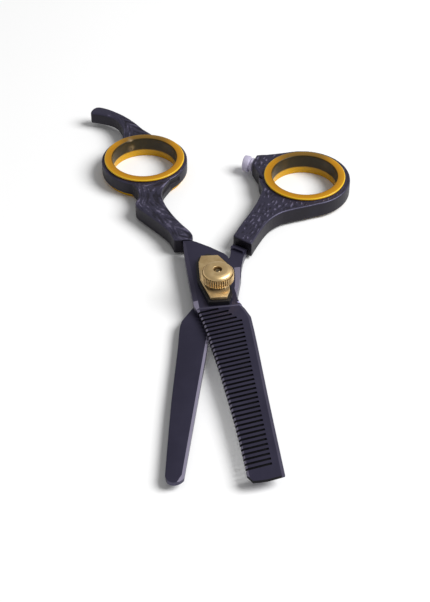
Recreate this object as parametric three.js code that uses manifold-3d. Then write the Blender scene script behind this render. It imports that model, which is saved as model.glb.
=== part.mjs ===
// Hairdresser's thinning shears: a toothed half over a plain half, joined by a keyed pivot stud
// whose knurled knob sets the tension.
// Millimetres, +Z up. The origin is the pivot axis on the table, the blade tips point along -Y.
// Each half is drawn as it lies with the shears closed, then turned about the pivot to stand open.
import * as THREE from 'three';
import { mergeVertices } from 'three/addons/utils/BufferGeometryUtils.js';
import Module from 'manifold-3d';

const wasm = await Module();
wasm.setup();

// Overall sizes.
const bladeLength = 74.9; // pivot to blade tips
const fingerReach = 69; // pivot to the finger ring's centre, along the closed shears
const thumbReach = 58.9; // pivot to the thumb ring's centre
const toothedOpening = 8.6; // degrees that each half stands away from closed
const plainOpening = 6.7;

// Heights of the stack on the pivot, from the table up.
const studHeadHeight = 1;
const bladeThickness = 2.45;
const baseHeight = 1.5;
const plateThickness = 1;
const washerThickness = 0.55;
const knobHeight = 3.65;
const springHeight = 0.75;
const springSheet = 0.35;

// Clearances.
const faceGap = 0.1; // between flat faces that lie on each other
const sideGap = 0.3; // round a piece that sits in a pocket or a hole
const knobRoom = 0.3; // under the knob, for tightening
const cutPast = 1; // how far a cutting shape runs past a face
const joinInto = 0.2; // how far a joined shape sinks into its body

const plainBottom = studHeadHeight + faceGap;
const plainTop = plainBottom + bladeThickness;
const toothedBottom = plainTop + faceGap;
const toothedTop = toothedBottom + bladeThickness;
const baseBottom = toothedTop + faceGap;
const baseTop = baseBottom + baseHeight;
const plateBottom = baseTop + faceGap;
const plateTop = plateBottom + plateThickness;
const washerBottom = plateTop + faceGap;
const washerTop = washerBottom + washerThickness;
const knobBottom = washerTop + knobRoom;
const knobTop = knobBottom + knobHeight;
const springStep = springHeight + faceGap;
const recessTop = washerTop + faceGap + 2 * springStep; // the upper spring bears on it

// Blades, seen from above.
const toothPitch = 1.71;
const slotWidth = 0.75;
const slotRake = 9.5; // degrees, roots towards the handles
const slotBack = 2.8; // metal left between the slot roots and the spine
const firstSlot = 8.8; // pivot to the middle of the first slot
const slotEnd = 4.4; // last slot to the blade tips
const spineStart = 13.5; // pivot to the shoulder where the spine begins
const grindStart = 8.2; // pivot to where each blade's outer face starts to thin
const tipThickness = 1.25;

// Rib across the plain blade's neck.
const ribPlace = 2; // short of the handle's end face
const ribHeight = 0.7;
const ribWidth = 0.8;

// Tangs that hold the handles.
const tangThickness = 1.5;
const tangWidth = 2;
const tangDepth = 9;
const tangRoot = 2; // how far a tang's root reaches back into its neck
const heelGap = 0.3; // between a blade's shoulder and its handle's end face
const tangHeightGap = 0.15;

// Rings and their inserts.
const ringBore = 21.6; // clear finger hole through an insert
const insertWall = 1.3;
const flangeWidth = 1.3; // how far an insert's flanges lie over the handle
const flangeThickness = 0.8;
const lowerFlange = 2.5; // the lower flange is the thicker one
const insertChamfer = 0.4;
const flangeChamfer = 0.3;
const fingerWall = 2; // metal round each insert
const thumbWall = 2.7;
const fingerSkirt = 1.6; // the finger ring's wall ends this far above the table
const handleCover = 0.1; // handle faces stand this far above the toothed blade

const handleBottom = 0.9; // the shanks stand clear of the table
const ringBottom = lowerFlange + faceGap;
const handleTop = toothedTop + handleCover;
const insertTop = handleTop + faceGap + flangeThickness;
const insertRadius = ringBore / 2 + insertWall;
const seatRadius = insertRadius + sideGap;
const flangeRadius = insertRadius + flangeWidth;
const fingerRingRadius = seatRadius + fingerWall;
const thumbRingRadius = seatRadius + thumbWall;

// Finger rest.
const restReach = 19.8; // ring edge to the end of the rest
const restThickness = 4.2;

// Pivot stud, bush and tension parts.
const studHeadRadius = 4.4;
const journalRadius = 2;
const keyFlat = 0.1; // how much narrower the square shank is than the journal
const keySize = 2 * journalRadius - keyFlat; // square shank that keys the stud to the plain blade
const threadRadius = 1.5;
const studChamfer = 0.3;
const studEndRadius = 1;
const studEndSink = 0.5; // below the knob's top face
const bushWall = 0.8;
const washerRadius = 3.9;
const springRadius = 3.3;
const springCone = springHeight - springSheet;
const knobRadius = 4.85;
const knobRecessRadius = 3.7;
const knobDome = 1.1;
const knobFace = 0.62; // flat top, as a share of the knob's radius
const knurlCount = 44;
const knurlDepth = 0.25;
const baseMargin = 0.7; // how far the base stands out round the plate
const keyBossRadius = 0.9;
const keyBossDepth = 1.2;
const tabRadius = 1.3; // round tab behind the plate

// Bumper that stops the handles.
const bumperRadius = 2.7;
const bumperHeadLength = 2.1;
const bumperChamfer = 0.5;
const bumperNeckRadius = 2;
const bumperNeckLength = 0.6;
const bumperFlangeRadius = 2.3;
const bumperFlangeLength = 0.7;
const bumperStemRadius = 1.2;
const bumperStemLength = 3.4;

// Pivot to the handles' end faces, and the middle of each face.
const fingerHeel = new THREE.Vector2(-7.35, 24.1);
const thumbHeel = new THREE.Vector2(5, 23.5);
const fingerRing = new THREE.Vector2(-14.4, fingerReach);
const thumbRing = new THREE.Vector2(22.1, thumbReach);

// Solids.

function asSolid(geometry) {
  const bare = geometry.index ? geometry.toNonIndexed() : geometry.clone();
  for (const name of Object.keys(bare.attributes)) {
    if (name !== 'position') bare.deleteAttribute(name);
  }
  const merged = mergeVertices(bare, 1e-5);
  const vertProperties = new Float32Array(merged.attributes.position.array);
  const triVerts = new Uint32Array(merged.index.array);
  return new wasm.Manifold(new wasm.Mesh({ numProp: 3, vertProperties, triVerts }));
}

function asGeometry(solid) {
  const { vertProperties, triVerts } = solid.getMesh();
  const geometry = new THREE.BufferGeometry();
  geometry.setAttribute('position', new THREE.BufferAttribute(vertProperties, 3));
  geometry.setIndex(new THREE.BufferAttribute(triVerts, 1));
  return geometry;
}

// An outline standing from one height to another, as one solid.
function slab(points, bottom, top) {
  const shape = new THREE.Shape(points);
  const geometry = new THREE.ExtrudeGeometry(shape, { depth: top - bottom, bevelEnabled: false });
  return asSolid(geometry.translate(0, 0, bottom));
}

function disc(centre, radius, bottom, top, sides = 48) {
  const points = arc(centre, radius, 0, 360, sides).slice(0, -1);
  return slab(points, bottom, top);
}

// A profile of [radius, height] pairs turned about the Z axis.
function turned(profile, sides = 48) {
  const points = profile.map(([radius, height]) => new THREE.Vector2(radius, height));
  return new THREE.LatheGeometry(points, sides).rotateX(Math.PI / 2);
}

// Outlines.

function arc(centre, radius, from, to, steps) {
  const points = [];
  for (let i = 0; i <= steps; i += 1) {
    const angle = THREE.MathUtils.degToRad(from + ((to - from) * i) / steps);
    points.push(new THREE.Vector2(
      centre.x + radius * Math.cos(angle),
      centre.y + radius * Math.sin(angle),
    ));
  }
  return points;
}

// A smooth stretch through a few points.
function smooth(points, steps) {
  const curve = new THREE.SplineCurve(points.map(([x, y]) => new THREE.Vector2(x, y)));
  return curve.getPoints(steps);
}

// Joins stretches into one outline and drops points that meet.
function outline(...stretches) {
  const points = [];
  for (const point of stretches.flat()) {
    const last = points.at(-1);
    if (!last || last.distanceTo(point) > 1e-3) points.push(point);
  }
  if (points[0].distanceTo(points.at(-1)) < 1e-3) points.pop();
  return points;
}

const corner = (x, y) => [new THREE.Vector2(x, y)];

// Places a point by its share of the way from a handle's heel to its ring, and its offset right.
function alongShank(heel, ring) {
  const way = ring.clone().sub(heel);
  const right = new THREE.Vector2(way.y, -way.x).normalize();
  return ([share, out]) => {
    const point = heel.clone().addScaledVector(way, share).addScaledVector(right, out);
    return [point.x, point.y];
  };
}

// The Y of a share of the way down a blade, from the spine's shoulder at 0 to the tips at 1.
const downBlade = (share) => -(spineStart + share * (bladeLength - spineStart));

// What grinding takes off a blade's outer face: a wedge that deepens towards the tips.
function grind(outerFace, inward) {
  const tipY = -bladeLength - cutPast;
  const slope = (bladeThickness - tipThickness) / (bladeLength - grindStart);
  const deep = slope * (-grindStart - tipY);
  const profile = [[-grindStart, outerFace], [tipY, outerFace + inward * deep],
    [tipY, outerFace - inward * cutPast], [-grindStart, outerFace - inward * cutPast]];
  const points = profile.map(([y, z]) => new THREE.Vector2(y, z));
  const shape = new THREE.Shape(points);
  const geometry = new THREE.ExtrudeGeometry(shape, { depth: 40, bevelEnabled: false });
  geometry.applyMatrix4(new THREE.Matrix4().set(0, 0, 1, -20, 1, 0, 0, 0, 0, 1, 0, 0, 0, 0, 0, 1));
  return asSolid(geometry);
}

// Toothed blade.

function toothTips() {
  return smooth([
    [-3.4, downBlade(0.965)],
    [-3.6, downBlade(0.7)],
    [-4.2, downBlade(0.48)],
    [-5.0, downBlade(0.26)],
    [-6.2, downBlade(0.05)],
    [-7.2, downBlade(-0.06)],
  ], 14);
}

function toothedOutline() {
  const spineTip = [6.4, downBlade(0.985)];
  const shoulder = smooth([[6.5, 0.2], [5.5, -2.6], [5.0, -5.0], [5.6, -7.4], [6.7, -9.9]], 8);
  const spine = smooth([
    [7.8, -spineStart],
    [7.7, downBlade(0.16)],
    [7, downBlade(0.55)],
    spineTip,
  ], 8);
  return outline(
    corner(-7.35, fingerHeel.y - heelGap - 0.2),
    corner(-7.9, 14),
    corner(-8.0, 7.2),
    corner(-8.1, -7.1),
    toothTips().reverse(),
    smooth([[-2.2, -bladeLength], [1.6, -bladeLength], spineTip], 4),
    spine.reverse(),
    shoulder.reverse(),
    corner(7.7, 4.8),
    corner(8.3, 8.5),
    corner(5.1, 10.7),
    corner(5.3, 14.1),
    corner(4.4, 15.6),
    corner(0.6, 19.4),
    corner(-3.3, 22.6),
    corner(-4.6, fingerHeel.y - heelGap - 0.4),
  );
}

// The spine's offset from the pivot line at a distance below the pivot.
function spineAt(below) {
  const share = (below - spineStart) / (bladeLength - spineStart);
  return 7.8 - 1.4 * Math.max(0, share);
}

// Root ends of the first slots, which stop short of the shoulder's curve.
const shortRoots = [-1.1, 1.7, 2.4, 3.6];

function slotShapes() {
  const rake = THREE.MathUtils.degToRad(slotRake);
  const run = new THREE.Vector2(Math.cos(rake), Math.sin(rake));
  const across = new THREE.Vector2(-run.y, run.x).multiplyScalar(slotWidth / 2);
  const count = Math.floor((bladeLength - slotEnd - firstSlot) / toothPitch) + 1;
  const shapes = [];
  for (let i = 0; i < count; i += 1) {
    const below = firstSlot + i * toothPitch;
    const root = shortRoots[i] ?? spineAt(below) - slotBack;
    const middle = new THREE.Vector2(0, -below);
    const inner = middle.clone().addScaledVector(run, root / run.x);
    const outer = middle.clone().addScaledVector(run, -12);
    shapes.push(new THREE.Shape([
      outer.clone().sub(across),
      inner.clone().sub(across),
      inner.clone().add(across),
      outer.clone().add(across),
    ]));
  }
  return shapes;
}

// A flat tongue from a blade's neck into its handle, wider all round by grow.
function tang(heel, ring, back, bottom, grow, heightGrow) {
  const at = alongShank(heel, ring);
  const length = heel.distanceTo(ring);
  const half = tangWidth / 2 + grow;
  const tip = (tangDepth + grow) / length;
  const root = -back / length;
  const points = [[root, -half], [tip, -half], [tip, half], [root, half]]
    .map((pair) => new THREE.Vector2(...at(pair)));
  const low = bottom + (bladeThickness - tangThickness) / 2;
  return slab(points.reverse(), low - heightGrow, low + tangThickness + heightGrow);
}

// The tangs leave each neck nearer the blade's middle than the handle's.
const fingerTangRoot = fingerHeel.clone().add(new THREE.Vector2(1.3, -0.3));
const thumbTangRoot = thumbHeel.clone().add(new THREE.Vector2(-0.7, 0.2));

function keyBosses(grow, bottom, top) {
  const places = [new THREE.Vector2(-1.6, 9.2), new THREE.Vector2(0.6, -5.4)];
  const bosses = places.map((place) => disc(place, keyBossRadius + grow, bottom, top, 16));
  return bosses[0].add(bosses[1]);
}

function toothedBlade() {
  const blank = slab(toothedOutline(), toothedBottom, toothedTop);
  const depth = bladeThickness + 2 * cutPast;
  const slotGeometry = new THREE.ExtrudeGeometry(slotShapes(), { depth, bevelEnabled: false });
  const slots = asSolid(slotGeometry.translate(0, 0, toothedBottom - cutPast));
  const origin = new THREE.Vector2(0, 0);
  const boreRadius = journalRadius + 2 * sideGap + bushWall;
  const bore = disc(origin, boreRadius, toothedBottom - cutPast, toothedTop + cutPast);
  const bossBottom = toothedTop - keyBossDepth - sideGap;
  return blank
    .subtract(slots)
    .subtract(grind(toothedTop, -1))
    .subtract(bore)
    .subtract(keyBosses(sideGap, bossBottom, toothedTop + cutPast))
    .add(tang(fingerTangRoot, fingerRing, tangRoot, toothedBottom, 0, 0));
}

// Plain blade.

function plainOutline() {
  const edge = -0.3;
  const spine = smooth([
    [-8.6, -12.0],
    [-9.3, -spineStart - 2],
    [-8.6, downBlade(0.2)],
    [-7.4, downBlade(0.55)],
    [-5.4, downBlade(0.96)],
  ], 12);
  const tip = smooth([
    [-5.4, downBlade(0.96)],
    [-4.6, downBlade(0.99)],
    [-2.9, -bladeLength],
    [-1.2, downBlade(0.988)],
    [edge, downBlade(0.968)],
  ], 8);
  const heelCurve = smooth([[edge, -14], [0.8, -11.6], [3.4, -8.4], [5.2, -5.4], [6, 0.7]], 8);
  return outline(
    spine,
    tip,
    heelCurve,
    corner(6.2, 8.8),
    corner(5.8, 13),
    corner(5.9, 17.5),
    corner(6.6, thumbHeel.y - heelGap - 1.1),
    corner(2, thumbHeel.y - heelGap + 1.1),
    corner(1.7, 17.4),
    corner(-4, 13.4),
    corner(-6, 9),
    corner(-6.3, 0),
    corner(-6.2, -6.3),
  );
}

function squareKey(size, bottom, top) {
  const half = size / 2;
  const points = [[-half, -half], [half, -half], [half, half], [-half, half]];
  return slab(points.map(([x, y]) => new THREE.Vector2(x, y)), bottom, top);
}

// A rib across the neck, just short of the handle.
function neckRib() {
  const at = alongShank(thumbHeel, thumbRing);
  const length = thumbHeel.distanceTo(thumbRing);
  const near = -(ribPlace + ribWidth) / length;
  const far = -ribPlace / length;
  const points = [[near, -2.5], [far, -2.5], [far, 2], [near, 2]]
    .map((pair) => new THREE.Vector2(...at(pair)));
  return slab(points.reverse(), plainTop - joinInto, plainTop + ribHeight);
}

function plainBlade() {
  const blank = slab(plainOutline(), plainBottom, plainTop);
  return blank
    .subtract(grind(plainBottom, 1))
    .subtract(squareKey(keySize + 2 * sideGap, plainBottom - cutPast, plainTop + cutPast))
    .add(neckRib())
    .add(tang(thumbTangRoot, thumbRing, tangRoot, plainBottom, 0, 0));
}

// Handles.

const fingerShank = alongShank(fingerHeel, fingerRing);
const thumbShank = alongShank(thumbHeel, thumbRing);

function fingerShankOutline() {
  return outline(
    smooth([[-0.018, 2.66], [0.024, 3.65], [0.082, 3.5], [0.174, 2.1], [0.283, 0.8],
      [0.385, 0.05], [0.468, -0.15], [0.543, 0.2], [0.618, 1.7], [0.704, 5.2],
      [0.793, 9.3]].map(fingerShank), 28),
    corner(...fingerShank([1, 6])),
    corner(...fingerShank([1, -6])),
    smooth([[0.848, -10.5], [0.766, -8], [0.682, -6.85], [0.6, -6.9], [0.56, -7.6],
      [0.527, -8.7]].map(fingerShank), 12),
    smooth([[0.527, -8.7], [0.49, -9.4], [0.45, -9.1], [0.401, -8.1], [0.313, -6.3],
      [0.212, -4.3], [0.118, -2.9], [0.018, -2.66]].map(fingerShank), 18),
  );
}

// The counterbore under each ring takes the insert's lower flange, inside a skirt of the ring's wall.
function flangeRoom(ring) {
  return disc(ring, flangeRadius + sideGap, handleBottom - cutPast, ringBottom, 72);
}

// The rest leaves the ring away from the blades and sweeps to the outside.
function restOutline() {
  const at = ([x, share]) => [
    fingerRing.x + x,
    fingerRing.y + fingerRingRadius + restReach * share,
  ];
  return outline(
    smooth([[6.2, -0.18], [3.8, 0.02], [1.4, 0.19], [-0.9, 0.41], [-4, 0.64], [-7.3, 0.82],
      [-10.2, 0.94], [-13, 1], [-14.9, 0.93], [-15.6, 0.82], [-13.8, 0.78], [-10.7, 0.7],
      [-7.5, 0.57], [-6, 0.39], [-5.4, 0.17], [-6, -0.05]].map(at), 48),
    corner(fingerRing.x - 3, fingerRing.y + seatRadius - 2),
    corner(fingerRing.x + 3, fingerRing.y + seatRadius - 2),
  );
}

function fingerHandle() {
  const shank = slab(fingerShankOutline(), handleBottom, handleTop);
  const ring = disc(fingerRing, fingerRingRadius, fingerSkirt, handleTop, 72);
  const rest = slab(restOutline(), handleTop - restThickness, handleTop);
  const seat = disc(fingerRing, seatRadius, handleBottom - cutPast, handleTop + cutPast, 72);
  const pocket = tang(fingerTangRoot, fingerRing, tangRoot + cutPast, toothedBottom, sideGap, tangHeightGap);
  return shank
    .add(ring)
    .add(rest)
    .subtract(flangeRoom(fingerRing))
    .subtract(seat)
    .subtract(pocket);
}

// The thumb handle's lobe, which carries the bumper on its short edge.
const lobeLow = new THREE.Vector2(-18, 6);
const lobeHigh = new THREE.Vector2(-16.9, 10.9);
const drawnRadius = 15.1; // the ring radius that the lobe's points are drawn for
const lobeSpread = thumbRingRadius / drawnRadius;

function thumbShankOutline() {
  const at = ([x, y]) => [thumbRing.x + x * lobeSpread, thumbRing.y + y * lobeSpread];
  return outline(
    smooth([[-0.005, 3.53], [0.139, 2.6], [0.317, 1.95], [0.456, 3], [0.553, 5.3],
      [0.651, 8.4], [0.757, 11.6]].map(thumbShank), 20),
    corner(...at([6, -4])),
    corner(...at([2, 8])),
    smooth([[-2.4, 15], [-5.4, 14.2], [-8.4, 13.1], [-13.2, 11.6], [-16.9, 10.9]].map(at), 8),
    smooth([[-18, 6], [-16.2, 2.2], [-14.3, -1.7], [-13.3, -8.5]].map(at), 8),
    smooth([[0.658, -8.3], [0.526, -6.7], [0.42, -5.85], [0.309, -5.2], [0.161, -4.6],
      [0.007, -3.57]].map(thumbShank), 12),
  );
}

function bumperPlace() {
  const middle = lobeLow.clone().add(lobeHigh).multiplyScalar(lobeSpread / 2).add(thumbRing);
  const side = lobeHigh.clone().sub(lobeLow).normalize();
  return { middle, angle: Math.atan2(side.x, -side.y) };
}

function thumbHandle() {
  const shank = slab(thumbShankOutline(), handleBottom, handleTop);
  const ring = disc(thumbRing, thumbRingRadius, handleBottom, handleTop, 72);
  const seat = disc(thumbRing, seatRadius, handleBottom - cutPast, handleTop + cutPast, 72);
  const pocket = tang(thumbTangRoot, thumbRing, tangRoot + cutPast, plainBottom, sideGap, tangHeightGap);
  const hole = placeBumper(turned([
    [0, -bumperStemLength - sideGap],
    [bumperStemRadius + sideGap, -bumperStemLength - sideGap],
    [bumperStemRadius + sideGap, 1],
    [0, 1],
  ], 20));
  return shank
    .add(ring)
    .subtract(flangeRoom(thumbRing))
    .subtract(seat)
    .subtract(pocket)
    .subtract(asSolid(hole));
}

// Inserts and bumper.

function ringInsert() {
  const bore = ringBore / 2;
  const lower = lowerFlange;
  const upper = insertTop - flangeThickness;
  return turned([
    [bore, insertChamfer],
    [bore + insertChamfer, 0],
    [flangeRadius, 0],
    [flangeRadius, lower],
    [insertRadius, lower],
    [insertRadius, upper],
    [flangeRadius, upper],
    [flangeRadius, insertTop - flangeChamfer],
    [flangeRadius - flangeChamfer, insertTop],
    [bore + insertChamfer, insertTop],
    [bore, insertTop - insertChamfer],
    [bore, insertChamfer],
  ], 64);
}

// Turns a shape drawn along Z to stick out of the lobe's short edge.
function placeBumper(geometry) {
  const { middle, angle } = bumperPlace();
  geometry.rotateY(Math.PI / 2);
  geometry.rotateZ(angle);
  return geometry.translate(middle.x, middle.y, (handleBottom + handleTop) / 2);
}

function bumper() {
  const flangeEnd = sideGap + bumperFlangeLength;
  const neckEnd = flangeEnd + bumperNeckLength;
  const headEnd = neckEnd + bumperHeadLength;
  return placeBumper(turned([
    [0, -bumperStemLength],
    [bumperStemRadius, -bumperStemLength],
    [bumperStemRadius, sideGap],
    [bumperFlangeRadius, sideGap],
    [bumperFlangeRadius, flangeEnd],
    [bumperNeckRadius, flangeEnd],
    [bumperNeckRadius, neckEnd],
    [bumperRadius, neckEnd],
    [bumperRadius, headEnd - bumperChamfer],
    [bumperRadius - bumperChamfer, headEnd],
    [0, headEnd],
  ], 28));
}

// Pivot.

function pivotStud() {
  const endTop = knobTop - studEndSink;
  const threadTop = knobTop - knobDome - joinInto;
  const shaft = asSolid(turned([
    [0, 0],
    [studHeadRadius - studChamfer, 0],
    [studHeadRadius, studChamfer],
    [studHeadRadius, studHeadHeight],
    [journalRadius, studHeadHeight],
    [journalRadius, plateTop],
    [threadRadius, plateTop],
    [threadRadius, threadTop],
    [studEndRadius, threadTop],
    [studEndRadius, endTop - studChamfer],
    [studEndRadius - studChamfer, endTop],
    [0, endTop],
  ]));
  return shaft.add(squareKey(keySize, studHeadHeight - joinInto, plainTop));
}

function pivotBush() {
  const inner = journalRadius + sideGap;
  const outer = inner + bushWall;
  return turned([
    [inner, toothedBottom],
    [outer, toothedBottom],
    [outer, toothedTop],
    [inner, toothedTop],
    [inner, toothedBottom],
  ]);
}

// The tension plate's outline has nine corners, and is larger all round by grow.
function plateOutline(grow) {
  const corners = [
    [-3.1, -7.1], [1.6, -7.5], [2.9, -4.6], [3.6, 3.4], [4.1, 7.6], [1.9, 12], [-3.2, 12.4],
    [-4.4, 9.4], [-5, 2],
  ];
  return corners.map(([x, y]) => new THREE.Vector2(
    x + grow * Math.sign(x),
    y + grow * Math.sign(y),
  ));
}

function tensionBase() {
  const clear = journalRadius + sideGap;
  const tab = disc(new THREE.Vector2(-1, 13.1), tabRadius, baseBottom, baseTop, 20);
  return slab(plateOutline(baseMargin), baseBottom, baseTop)
    .add(tab)
    .add(keyBosses(0, toothedTop - keyBossDepth, baseBottom + joinInto))
    .subtract(disc(new THREE.Vector2(0, 0), clear, baseBottom - cutPast, baseTop + cutPast));
}

function tensionPlate() {
  const clear = journalRadius + sideGap;
  return slab(plateOutline(0), plateBottom, plateTop)
    .subtract(disc(new THREE.Vector2(0, 0), clear, plateBottom - cutPast, plateTop + cutPast));
}

function thrustWasher() {
  const inner = threadRadius + sideGap;
  return turned([
    [inner, washerBottom],
    [washerRadius, washerBottom],
    [washerRadius, washerTop],
    [inner, washerTop],
    [inner, washerBottom],
  ]);
}

// A coned disc spring; the second lies on the first the other way up.
function discSpring(index) {
  const inner = threadRadius + sideGap;
  const bottom = washerTop + faceGap + index * springStep;
  const innerLift = index === 0 ? springCone : 0;
  const outerLift = springCone - innerLift;
  return turned([
    [inner, bottom + innerLift],
    [springRadius, bottom + outerLift],
    [springRadius, bottom + outerLift + springSheet],
    [inner, bottom + innerLift + springSheet],
    [inner, bottom + innerLift],
  ]);
}

function knurledOutline() {
  const points = [];
  for (let i = 0; i < knurlCount * 2; i += 1) {
    const angle = (Math.PI * i) / knurlCount;
    const radius = knobRadius - (i % 2) * knurlDepth;
    points.push(new THREE.Vector2(radius * Math.cos(angle), radius * Math.sin(angle)));
  }
  return points;
}

function tensionKnob() {
  const origin = new THREE.Vector2(0, 0);
  const bandTop = knobTop - knobDome;
  const edge = knobRadius - knurlDepth;
  const dome = asSolid(turned([
    [0, bandTop - joinInto],
    [edge, bandTop - joinInto],
    [edge, bandTop],
    [edge - 0.35, bandTop + 0.5],
    [edge - 1, bandTop + 0.85],
    [knobRadius * knobFace, knobTop],
    [0, knobTop],
  ]));
  return slab(knurledOutline(), knobBottom, bandTop)
    .add(dome)
    .subtract(disc(origin, knobRecessRadius, knobBottom - cutPast, recessTop, 40))
    .subtract(disc(origin, threadRadius + sideGap, knobBottom - cutPast, bandTop + 0.1, 32))
    .subtract(disc(origin, studEndRadius + sideGap, knobBottom, knobTop + cutPast, 24));
}

// Materials and scene.

function finish(color, roughness, metalness) {
  return new THREE.MeshStandardMaterial({ color, roughness, metalness });
}

const blackSteel = finish('#3a3646', 0.32, 0.9);
const blackCast = finish('#34303e', 0.45, 0.8);
const amber = finish('#d18a1c', 0.25, 0);
const clearSilicone = finish('#c9c2e0', 0.35, 0);
const brass = finish('#c8a15c', 0.3, 1);
const steel = finish('#b8b8bc', 0.3, 1);
const blackPlastic = finish('#15141a', 0.5, 0);

function piece(name, source, material) {
  const geometry = source.isBufferGeometry ? source : asGeometry(source);
  const mesh = new THREE.Mesh(geometry, material);
  mesh.name = name;
  return mesh;
}

function insertFor(name, ring) {
  const mesh = piece(name, ringInsert(), amber);
  mesh.position.set(ring.x, ring.y, 0);
  return mesh;
}

const toothedHalf = new THREE.Group();
toothedHalf.rotation.z = THREE.MathUtils.degToRad(toothedOpening);
toothedHalf.add(
  piece('toothed_blade', toothedBlade(), blackSteel),
  piece('finger_handle', fingerHandle(), blackCast),
  insertFor('finger_ring_insert', fingerRing),
  piece('pivot_bush', pivotBush(), steel),
  piece('tension_base', tensionBase(), blackPlastic),
  piece('tension_plate', tensionPlate(), brass),
);

const plainHalf = new THREE.Group();
plainHalf.rotation.z = THREE.MathUtils.degToRad(-plainOpening);
plainHalf.add(
  piece('plain_blade', plainBlade(), blackSteel),
  piece('thumb_handle', thumbHandle(), blackCast),
  insertFor('thumb_ring_insert', thumbRing),
  piece('bumper', bumper(), clearSilicone),
  piece('pivot_stud', pivotStud(), steel),
  piece('thrust_washer', thrustWasher(), steel),
  piece('disc_spring_lower', discSpring(0), steel),
  piece('disc_spring_upper', discSpring(1), steel),
  piece('tension_knob', tensionKnob(), brass),
);

const group = new THREE.Group();
group.add(toothedHalf, plainHalf);

export default group;
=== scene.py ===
# Thinning shears on a pale table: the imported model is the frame, and each visible piece is finished here.
import math

import bmesh
import bpy
import numpy as np
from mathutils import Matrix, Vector, noise
from mathutils.geometry import delaunay_2d_cdt
from mathutils.kdtree import KDTree


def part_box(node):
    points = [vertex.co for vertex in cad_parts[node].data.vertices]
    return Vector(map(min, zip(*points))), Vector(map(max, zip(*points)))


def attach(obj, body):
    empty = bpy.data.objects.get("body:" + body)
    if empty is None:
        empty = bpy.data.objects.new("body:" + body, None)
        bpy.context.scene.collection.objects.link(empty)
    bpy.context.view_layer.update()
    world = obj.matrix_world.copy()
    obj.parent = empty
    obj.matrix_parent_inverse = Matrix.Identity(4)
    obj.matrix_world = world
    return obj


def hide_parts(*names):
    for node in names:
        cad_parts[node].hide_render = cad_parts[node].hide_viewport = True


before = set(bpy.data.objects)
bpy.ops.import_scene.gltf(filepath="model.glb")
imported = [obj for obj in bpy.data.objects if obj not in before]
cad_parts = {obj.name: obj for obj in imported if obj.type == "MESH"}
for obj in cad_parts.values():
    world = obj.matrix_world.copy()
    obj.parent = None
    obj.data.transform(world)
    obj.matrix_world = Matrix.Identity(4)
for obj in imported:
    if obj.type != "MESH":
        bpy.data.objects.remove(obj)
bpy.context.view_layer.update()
mm = 0.001


def boxOf(node):
    low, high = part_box(node)
    return np.array(low) / mm, np.array(high) / mm


# Shader trees.

class Wire:
    # one output socket; sums on it add Math nodes
    def __init__(self, tree, socket):
        self.tree = tree
        self.socket = socket

    def sum(self, operation, *values):
        node = self.tree.nodes.new("ShaderNodeMath")
        node.operation = operation
        for socket, value in zip(node.inputs, values):
            if isinstance(value, Wire):
                self.tree.links.new(value.socket, socket)
            else:
                socket.default_value = value
        return Wire(self.tree, node.outputs[0])

    def __add__(self, other):
        return self.sum("ADD", self, other)

    def __radd__(self, other):
        return self.sum("ADD", other, self)

    def __sub__(self, other):
        return self.sum("SUBTRACT", self, other)

    def __rsub__(self, other):
        return self.sum("SUBTRACT", other, self)

    def __mul__(self, other):
        return self.sum("MULTIPLY", self, other)

    def __rmul__(self, other):
        return self.sum("MULTIPLY", other, self)

    def sine(self):
        return self.sum("SINE", self)

    def root(self):
        return self.sum("SQRT", self)

    def held(self):
        return self.sum("MINIMUM", self.sum("MAXIMUM", self, 0.0), 1.0)

    def step(self, low, high):
        return ((self - low) * (1 / (high - low))).held()


class Finish:
    # a material whose shader takes fixed values on its own sockets
    def __init__(self, name, **fixed):
        self.material = bpy.data.materials.new(name)
        self.material.use_nodes = True
        self.tree = self.material.node_tree
        self.shader = self.tree.nodes["Principled BSDF"]
        for socket, value in fixed.items():
            self.shader.inputs[socket.replace("_", " ")].default_value = value

    def node(self, kind, settings=None, sockets=None, output=0):
        made = self.tree.nodes.new(kind)
        for key, value in (settings or {}).items():
            if key == "stops":
                while len(made.color_ramp.elements) < len(value):
                    made.color_ramp.elements.new(0.5)
                for element, (place, colour) in zip(made.color_ramp.elements, value):
                    element.position = place
                    element.color = (*colour, 1)
            else:
                setattr(made, key, value)
        for key, value in (sockets or {}).items():
            if isinstance(value, Wire):
                self.tree.links.new(value.socket, made.inputs[key])
            else:
                made.inputs[key].default_value = value
        return Wire(self.tree, made.outputs[output])

    def place(self):
        return self.node("ShaderNodeTexCoord", output=3)

    def axes(self, vector):
        split = self.node("ShaderNodeSeparateXYZ", sockets={0: vector})
        outputs = split.socket.node.outputs
        return [Wire(self.tree, outputs[i]) for i in range(3)]

    def noise(self, size, detail=3.0, rough=0.55, stretch=(1, 1, 1)):
        # size is in millimetres
        vector = self.node("ShaderNodeMapping", sockets={"Vector": self.place(), "Scale": stretch})
        sockets = {"Vector": vector, "Scale": 1 / (size * mm), "Detail": detail, "Roughness": rough}
        return self.node("ShaderNodeTexNoise", sockets=sockets)

    def own(self, name):
        return self.node("ShaderNodeAttribute", {"attribute_name": name}, output=2)

    def ramp(self, factor, *stops):
        return self.node("ShaderNodeValToRGB", {"stops": stops}, {0: factor})

    def blend(self, factor, first, second, kind="MIX"):
        colours = [c if isinstance(c, Wire) else (*c, 1) for c in (first, second)]
        settings = {"data_type": "RGBA", "blend_type": kind}
        return self.node("ShaderNodeMix", settings, {0: factor, 6: colours[0], 7: colours[1]}, output=2)

    def bump(self, height, depth, strength=1.0):
        # depth is in millimetres
        sockets = {"Height": height, "Distance": depth * mm, "Strength": strength}
        self.feed("Normal", self.node("ShaderNodeBump", sockets=sockets))

    def feed(self, socket, wire):
        self.tree.links.new(wire.socket, self.shader.inputs[socket])


# The darkest handle colour is painted shade on the walls, in the cuts and in the wall slot; the lightest
# serves edge wear and painted highlights on the rim and the lip.
castLook = {"deep": (0.008, 0.006, 0.009), "middle": (0.046, 0.042, 0.074), "wornAndHighlit": (0.20, 0.18, 0.28)}


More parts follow.
